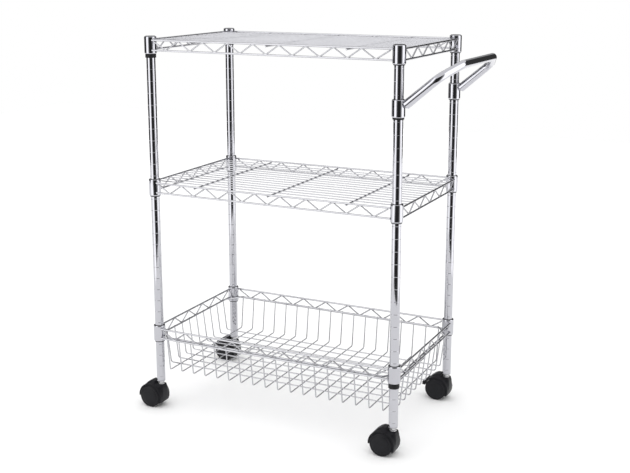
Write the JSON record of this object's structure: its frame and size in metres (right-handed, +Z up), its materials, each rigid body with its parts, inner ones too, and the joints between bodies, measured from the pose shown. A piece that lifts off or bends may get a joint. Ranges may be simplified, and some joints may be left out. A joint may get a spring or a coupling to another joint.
{
  "type": "wire shelf cart",
  "caption": "Chrome wire shelf cart on casters: flat wire shelves above a wire basket, grooved round posts, and a bent-tube push handle at one end.",
  "frame": {"origin": "floor level, under the centre of the overall box", "axes": "+Z up; X along the long side with the push handle at +X; the front long side faces -Y; the casters trail towards -X"},
  "size_m": [0.728, 0.365, 0.828],
  "materials": {
    "shelf_chrome": "bright chrome-plated welded steel wire",
    "post_chrome": "bright chrome-plated steel tube",
    "handle_chrome": "bright chrome-plated bent tube",
    "cap_plastic": "dark moulded plastic",
    "sleeve_plastic": "black moulded plastic",
    "socket_plastic": "grey moulded plastic insert",
    "stem_steel": "bright zinc-plated steel",
    "axle_steel": "plain steel",
    "hood_plastic": "satin black moulded plastic",
    "wheel_rubber": "satin black hard plastic",
    "lever_plastic": "satin black moulded plastic"
  },
  "bodies": {
    "cart": {"top_shelf": "shelf_chrome", "middle_shelf": "shelf_chrome", "basket_shelf": "shelf_chrome", "push_handle": "handle_chrome", "post_front_left": "post_chrome", "post_cap_front_left": "cap_plastic", "top_sleeve_front_left": "sleeve_plastic", "middle_sleeve_front_left": "sleeve_plastic", "basket_sleeve_front_left": "sleeve_plastic", "stem_socket_front_left": "socket_plastic", "caster_stem_front_left": "stem_steel", "post_front_right": "post_chrome", "post_cap_front_right": "cap_plastic", "top_sleeve_front_right": "sleeve_plastic", "middle_sleeve_front_right": "sleeve_plastic", "basket_sleeve_front_right": "sleeve_plastic", "stem_socket_front_right": "socket_plastic", "caster_stem_front_right": "stem_steel", "post_back_left": "post_chrome", "post_cap_back_left": "cap_plastic", "top_sleeve_back_left": "sleeve_plastic", "middle_sleeve_back_left": "sleeve_plastic", "basket_sleeve_back_left": "sleeve_plastic", "stem_socket_back_left": "socket_plastic", "caster_stem_back_left": "stem_steel", "post_back_right": "post_chrome", "post_cap_back_right": "cap_plastic", "top_sleeve_back_right": "sleeve_plastic", "middle_sleeve_back_right": "sleeve_plastic", "basket_sleeve_back_right": "sleeve_plastic", "stem_socket_back_right": "socket_plastic", "caster_stem_back_right": "stem_steel", "handle_sleeve_front_right": "sleeve_plastic", "handle_sleeve_back_right": "sleeve_plastic"},
    "caster_front_left": {"caster_hood_front_left": "hood_plastic", "caster_axle_front_left": "axle_steel"},
    "wheel_front_left_a": {"wheel_front_left_a": "wheel_rubber"},
    "wheel_front_left_b": {"wheel_front_left_b": "wheel_rubber"},
    "caster_front_right": {"caster_hood_front_right": "hood_plastic", "caster_axle_front_right": "axle_steel"},
    "wheel_front_right_a": {"wheel_front_right_a": "wheel_rubber"},
    "wheel_front_right_b": {"wheel_front_right_b": "wheel_rubber"},
    "caster_back_left": {"caster_hood_back_left": "hood_plastic", "caster_axle_back_left": "axle_steel"},
    "wheel_back_left_a": {"wheel_back_left_a": "wheel_rubber"},
    "wheel_back_left_b": {"wheel_back_left_b": "wheel_rubber"},
    "caster_back_right": {"caster_hood_back_right": "hood_plastic", "caster_axle_back_right": "axle_steel"},
    "wheel_back_right_a": {"wheel_back_right_a": "wheel_rubber"},
    "wheel_back_right_b": {"wheel_back_right_b": "wheel_rubber"},
    "brake_lever_back_left": {"brake_lever_back_left": "lever_plastic"},
    "brake_lever_back_right": {"brake_lever_back_right": "lever_plastic"}
  },
  "joints": [
    {"name": "swivel_front_left", "type": "hinge", "parent": "cart", "child": "caster_front_left", "pos_m": [-0.30954, -0.161, 0.055], "axis": [0, 0, 1], "continuous": true},
    {"name": "wheel_front_left_a_spin", "type": "hinge", "parent": "caster_front_left", "child": "wheel_front_left_a", "pos_m": [-0.32904, -0.161, 0.025], "axis": [0, 1, 0], "continuous": true},
    {"name": "wheel_front_left_b_spin", "type": "hinge", "parent": "caster_front_left", "child": "wheel_front_left_b", "pos_m": [-0.32904, -0.161, 0.025], "axis": [0, 1, 0], "continuous": true},
    {"name": "swivel_front_right", "type": "hinge", "parent": "cart", "child": "caster_front_right", "pos_m": [0.25246, -0.161, 0.055], "axis": [0, 0, 1], "continuous": true},
    {"name": "wheel_front_right_a_spin", "type": "hinge", "parent": "caster_front_right", "child": "wheel_front_right_a", "pos_m": [0.23296, -0.161, 0.025], "axis": [0, 1, 0], "continuous": true},
    {"name": "wheel_front_right_b_spin", "type": "hinge", "parent": "caster_front_right", "child": "wheel_front_right_b", "pos_m": [0.23296, -0.161, 0.025], "axis": [0, 1, 0], "continuous": true},
    {"name": "swivel_back_left", "type": "hinge", "parent": "cart", "child": "caster_back_left", "pos_m": [-0.30954, 0.161, 0.055], "axis": [0, 0, 1], "continuous": true},
    {"name": "wheel_back_left_a_spin", "type": "hinge", "parent": "caster_back_left", "child": "wheel_back_left_a", "pos_m": [-0.32904, 0.161, 0.025], "axis": [0, 1, 0], "continuous": true},
    {"name": "wheel_back_left_b_spin", "type": "hinge", "parent": "caster_back_left", "child": "wheel_back_left_b", "pos_m": [-0.32904, 0.161, 0.025], "axis": [0, 1, 0], "continuous": true},
    {"name": "swivel_back_right", "type": "hinge", "parent": "cart", "child": "caster_back_right", "pos_m": [0.25246, 0.161, 0.055], "axis": [0, 0, 1], "continuous": true},
    {"name": "wheel_back_right_a_spin", "type": "hinge", "parent": "caster_back_right", "child": "wheel_back_right_a", "pos_m": [0.23296, 0.161, 0.025], "axis": [0, 1, 0], "continuous": true},
    {"name": "wheel_back_right_b_spin", "type": "hinge", "parent": "caster_back_right", "child": "wheel_back_right_b", "pos_m": [0.23296, 0.161, 0.025], "axis": [0, 1, 0], "continuous": true},
    {"name": "brake_back_left", "type": "hinge", "parent": "caster_back_left", "child": "brake_lever_back_left", "pos_m": [-0.35217, 0.161, 0.04441], "axis": [0, 1, 0], "range_deg": [-8, 0]},
    {"name": "brake_back_right", "type": "hinge", "parent": "caster_back_right", "child": "brake_lever_back_right", "pos_m": [0.20983, 0.161, 0.04441], "axis": [0, 1, 0], "range_deg": [-8, 0]}
  ]
}
